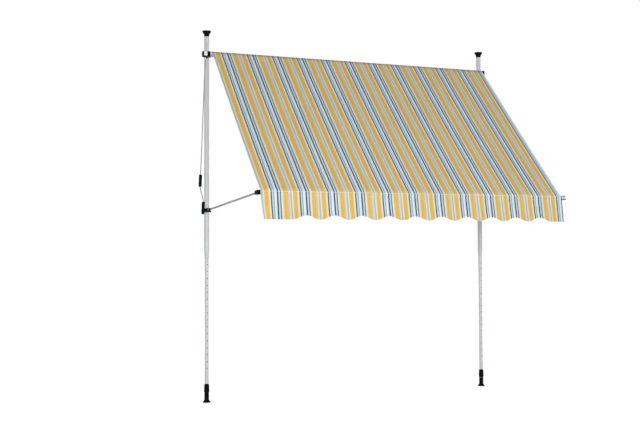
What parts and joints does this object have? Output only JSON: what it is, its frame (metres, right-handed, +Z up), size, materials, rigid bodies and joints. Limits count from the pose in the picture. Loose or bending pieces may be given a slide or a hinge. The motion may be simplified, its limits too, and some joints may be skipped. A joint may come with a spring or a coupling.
{
  "type": "fabric awning",
  "caption": "Free-standing clamp awning: telescopic posts wedged floor to ceiling carry a cranked roller, a sloping striped cloth, swing arms and a front bar with scalloped valance.",
  "frame": {"origin": "on the floor, midway between the two posts", "axes": "+X along the roller to the right, -Y the way the cloth runs out, +Z up"},
  "size_m": [2.4088, 1.2158, 2.7],
  "materials": {
    "post_white_paint": "satin powder coat",
    "black_plastic": "fine moulded grain",
    "white_plastic": "moulded, semi-gloss",
    "grey_paint": "satin powder coat",
    "zinc_plated_steel": "bright zinc plate",
    "gear_brass": "machined",
    "striped_cloth": "woven, striped along the fall"
  },
  "bodies": {
    "frame": {"left_tube_plug": "black_plastic", "left_lower_tube": "post_white_paint", "left_height_pin": "zinc_plated_steel", "left_guide_bush": "black_plastic", "left_upper_tube": "post_white_paint", "left_ceiling_pad": "black_plastic", "left_roller_clamp_front": "black_plastic", "left_roller_clamp_back": "black_plastic", "left_roller_clamp_bolt_a": "zinc_plated_steel", "left_roller_clamp_bolt_b": "zinc_plated_steel", "left_arm_clamp_front": "black_plastic", "left_arm_clamp_back": "black_plastic", "left_arm_clamp_bolt_a": "zinc_plated_steel", "left_arm_clamp_bolt_b": "zinc_plated_steel", "left_arm_pivot_bolt": "zinc_plated_steel", "right_tube_plug": "black_plastic", "right_lower_tube": "post_white_paint", "right_height_pin": "zinc_plated_steel", "right_guide_bush": "black_plastic", "right_upper_tube": "post_white_paint", "right_ceiling_pad": "black_plastic", "right_roller_clamp_front": "black_plastic", "right_roller_clamp_back": "black_plastic", "right_roller_clamp_bolt_a": "zinc_plated_steel", "right_roller_clamp_bolt_b": "zinc_plated_steel", "right_arm_clamp_front": "black_plastic", "right_arm_clamp_back": "black_plastic", "right_arm_clamp_bolt_a": "zinc_plated_steel", "right_arm_clamp_bolt_b": "zinc_plated_steel", "right_arm_pivot_bolt": "zinc_plated_steel", "gear_housing": "black_plastic", "gear_cover": "white_plastic", "idler_pin": "zinc_plated_steel", "canopy_cloth": "striped_cloth"},
    "arms": {"left_arm_tube": "grey_paint", "left_arm_knuckle": "black_plastic", "right_arm_tube": "grey_paint", "right_arm_knuckle": "black_plastic"},
    "front_bar": {"front_bar_tube": "post_white_paint", "left_bar_cap": "white_plastic", "right_bar_cap": "white_plastic", "pocket_and_valance": "striped_cloth"},
    "roller": {"roller_tube": "zinc_plated_steel", "left_roller_plug": "black_plastic", "right_roller_plug": "black_plastic", "cloth_roll": "striped_cloth", "worm_wheel": "gear_brass"},
    "crank": {"worm_shaft": "zinc_plated_steel", "crank_rod": "grey_paint"},
    "crank_upper_grip": {"crank_upper_grip": "black_plastic"},
    "crank_lower_grip": {"crank_lower_grip": "black_plastic"},
    "left_adjuster": {"left_adjuster_nut": "black_plastic"},
    "left_foot": {"left_foot_pad": "black_plastic", "left_foot_spindle": "zinc_plated_steel"},
    "right_adjuster": {"right_adjuster_nut": "black_plastic"},
    "right_foot": {"right_foot_pad": "black_plastic", "right_foot_spindle": "zinc_plated_steel"}
  },
  "joints": [
    {"name": "arm_swing", "type": "hinge", "parent": "frame", "child": "arms", "pos_m": [0, -0.085, 1.392], "axis": [-1, 0, 0], "range_deg": [0, 84], "deforming": ["canopy_cloth"]},
    {"name": "front_bar_swivel", "type": "hinge", "parent": "arms", "child": "front_bar", "pos_m": [0, -1.14001, 1.46004], "axis": [-1, 0, 0], "range_deg": [-84, 0]},
    {"name": "roller_spin", "type": "hinge", "parent": "frame", "child": "roller", "pos_m": [0, -0.092, 2.514], "axis": [-1, 0, 0], "range_deg": [0, 3864]},
    {"name": "crank_spin", "type": "hinge", "parent": "frame", "child": "crank", "pos_m": [-1.17984, -0.076, 2.47], "axis": [0.0419, 0, 0.9991], "range_deg": [0, 27048]},
    {"name": "crank_upper_grip_spin", "type": "hinge", "parent": "crank", "child": "crank_upper_grip", "pos_m": [-1.21628, -0.076, 1.60076], "axis": [0.0419, 0, 0.9991], "continuous": true},
    {"name": "crank_lower_grip_spin", "type": "hinge", "parent": "crank", "child": "crank_lower_grip", "pos_m": [-1.20934, -0.12317, 1.4003], "axis": [0.0419, 0, 0.9991], "continuous": true},
    {"name": "left_adjuster_spin", "type": "hinge", "parent": "frame", "child": "left_adjuster", "pos_m": [-1.1465, 0, 0.1], "axis": [0, 0, 1], "range_deg": [0, 4790]},
    {"name": "left_foot_slide", "type": "slide", "parent": "frame", "child": "left_foot", "axis": [0, 0, -1], "range_m": [0, 0.04]},
    {"name": "right_adjuster_spin", "type": "hinge", "parent": "frame", "child": "right_adjuster", "pos_m": [1.1465, 0, 0.1], "axis": [0, 0, 1], "range_deg": [0, 4790]},
    {"name": "right_foot_slide", "type": "slide", "parent": "frame", "child": "right_foot", "axis": [0, 0, -1], "range_m": [0, 0.04]}
  ],
  "couplings": [
    {"joint": "front_bar_swivel", "follows": "arm_swing", "ratio": -1},
    {"joint": "roller_spin", "follows": "arm_swing", "ratio": 46},
    {"joint": "crank_spin", "follows": "arm_swing", "ratio": 322},
    {"joint": "left_foot_slide", "follows": "left_adjuster_spin", "m_per_rad": 0.00047746},
    {"joint": "right_foot_slide", "follows": "right_adjuster_spin", "m_per_rad": 0.00047746}
  ]
}
